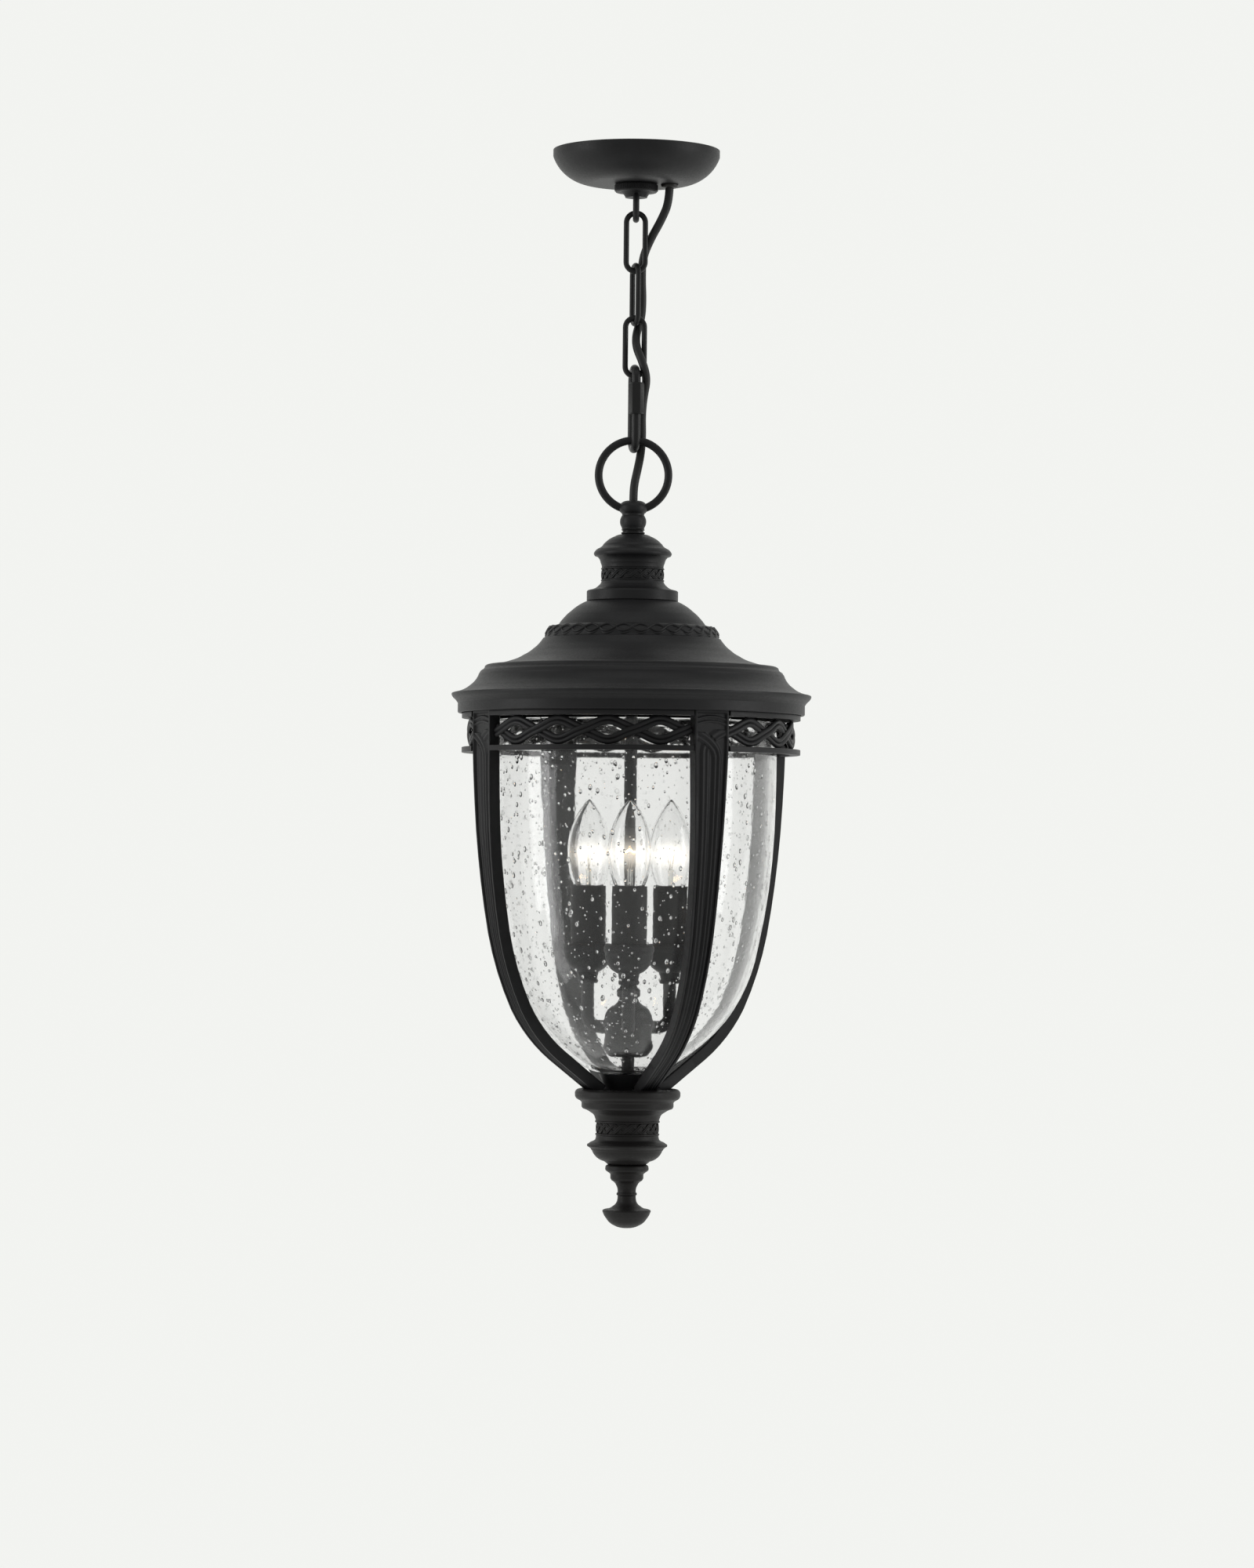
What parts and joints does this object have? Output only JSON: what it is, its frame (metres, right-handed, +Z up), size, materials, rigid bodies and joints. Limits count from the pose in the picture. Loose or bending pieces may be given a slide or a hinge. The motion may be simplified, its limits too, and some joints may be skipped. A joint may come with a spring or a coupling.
{
  "type": "hanging lantern",
  "caption": "Cast lantern that hangs on a chain: domed roof, openwork gallery, curved ribs round a seeded glass bell, candle lamps inside and a turned finial below.",
  "frame": {"origin": "on the lantern's upright axis in the ceiling plane, at the middle of the crossbar's two slots", "axes": "+Z up, +X to the viewer's right, -Y towards the viewer; the lantern hangs below Z = 0"},
  "size_m": [0.28, 0.28, 0.8389],
  "materials": {
    "black_casting": "black powder coat over a casting, fine matte texture",
    "black_steel": "black powder coat over steel wire and tube",
    "zinc_steel": "zinc plated",
    "green_screw": "green plated",
    "cord_sheath": "matte black sheath",
    "black_plastic": "moulded black",
    "candle_sleeve": "black matte tube",
    "brass_cap": "pressed brass",
    "bulb_glass": "clear",
    "seeded_glass": "clear with small seed bubbles",
    "rubber": "soft washer"
  },
  "bodies": {
    "ceiling": {"canopy": "black_casting", "crossbar": "zinc_steel", "canopy_nipple": "zinc_steel", "nipple_nut": "zinc_steel", "canopy_loop": "black_casting", "ground_screw": "green_screw", "cord_bushing": "black_plastic", "supply_cord": "cord_sheath"},
    "collar": {"canopy_collar": "black_casting"},
    "link_1": {"chain_link_1": "black_steel"},
    "link_2": {"chain_link_2": "black_steel"},
    "link_3": {"chain_link_3": "black_steel"},
    "quick_link": {"quick_link": "black_steel"},
    "sleeve": {"quick_link_sleeve": "black_steel"},
    "bulb_1": {"bulb_1": "bulb_glass", "bulb_base_1": "brass_cap"},
    "bulb_2": {"bulb_2": "bulb_glass", "bulb_base_2": "brass_cap"},
    "bulb_3": {"bulb_3": "bulb_glass", "bulb_base_3": "brass_cap"},
    "finial": {"finial": "black_casting"},
    "lantern": {"arm_1": "black_steel", "arm_2": "black_steel", "arm_3": "black_steel", "bell_gasket": "rubber", "bell_seat": "black_casting", "candle_cup_1": "black_casting", "candle_cup_2": "black_casting", "candle_cup_3": "black_casting", "candle_sleeve_1": "candle_sleeve", "candle_sleeve_2": "candle_sleeve", "candle_sleeve_3": "candle_sleeve", "centre_stem": "black_steel", "cluster_body": "black_casting", "crown_cap": "black_casting", "crown_collar": "black_casting", "gallery_panel_1": "black_casting", "gallery_panel_2": "black_casting", "gallery_panel_3": "black_casting", "gallery_panel_4": "black_casting", "glass_bell": "seeded_glass", "holder": "black_casting", "hub_collar": "black_casting", "loop_hub": "black_casting", "loop_ring": "black_casting", "rib_1": "black_casting", "rib_2": "black_casting", "rib_3": "black_casting", "rib_4": "black_casting", "rib_foot_screws": "black_steel", "roof": "black_casting", "roof_nut": "zinc_steel", "roof_washer": "zinc_steel", "socket_1": "black_plastic", "socket_2": "black_plastic", "socket_3": "black_plastic"}
  },
  "joints": [
    {"name": "collar_screw", "type": "hinge", "parent": "ceiling", "child": "collar", "pos_m": [0, 0, -0.029], "axis": [0, 0, 1], "range_deg": [0, 1080]},
    {"name": "link_1_swing", "type": "hinge", "parent": "ceiling", "child": "link_1", "pos_m": [0, 0, -0.0537], "axis": [0, 1, 0], "range_deg": [-30, 30], "deforming": ["supply_cord"]},
    {"name": "link_2_swing", "type": "hinge", "parent": "link_1", "child": "link_2", "pos_m": [0, 0, -0.09425], "axis": [1, 0, 0], "range_deg": [-30, 30], "deforming": ["supply_cord"]},
    {"name": "link_3_swing", "type": "hinge", "parent": "link_2", "child": "link_3", "pos_m": [0, 0, -0.13515], "axis": [0.309, -0.9511, 0], "range_deg": [-30, 30], "deforming": ["supply_cord"]},
    {"name": "quick_link_swing", "type": "hinge", "parent": "link_3", "child": "quick_link", "pos_m": [0, 0, -0.17605], "axis": [1, 0, 0], "range_deg": [-30, 30], "deforming": ["supply_cord"]},
    {"name": "lantern_swing", "type": "hinge", "parent": "quick_link", "child": "lantern", "pos_m": [0, 0, -0.2329], "axis": [0.1564, -0.9877, 0], "range_deg": [-30, 30], "deforming": ["supply_cord"]},
    {"name": "sleeve_slide", "type": "slide", "parent": "quick_link", "child": "sleeve", "axis": [0, 0, -1], "range_m": [0, 0.008]},
    {"name": "finial_screw", "type": "hinge", "parent": "lantern", "child": "finial", "pos_m": [0, 0, -0.8], "axis": [0, 0, 1], "range_deg": [0, 1440]},
    {"name": "bulb_1_screw", "type": "hinge", "parent": "lantern", "child": "bulb_1", "pos_m": [0, -0.037, -0.5923], "axis": [0, 0, 1], "range_deg": [0, 1080]},
    {"name": "bulb_2_screw", "type": "hinge", "parent": "lantern", "child": "bulb_2", "pos_m": [0.03204, 0.0185, -0.5923], "axis": [0, 0, 1], "range_deg": [0, 1080]},
    {"name": "bulb_3_screw", "type": "hinge", "parent": "lantern", "child": "bulb_3", "pos_m": [-0.03204, 0.0185, -0.5923], "axis": [0, 0, 1], "range_deg": [0, 1080]}
  ]
}
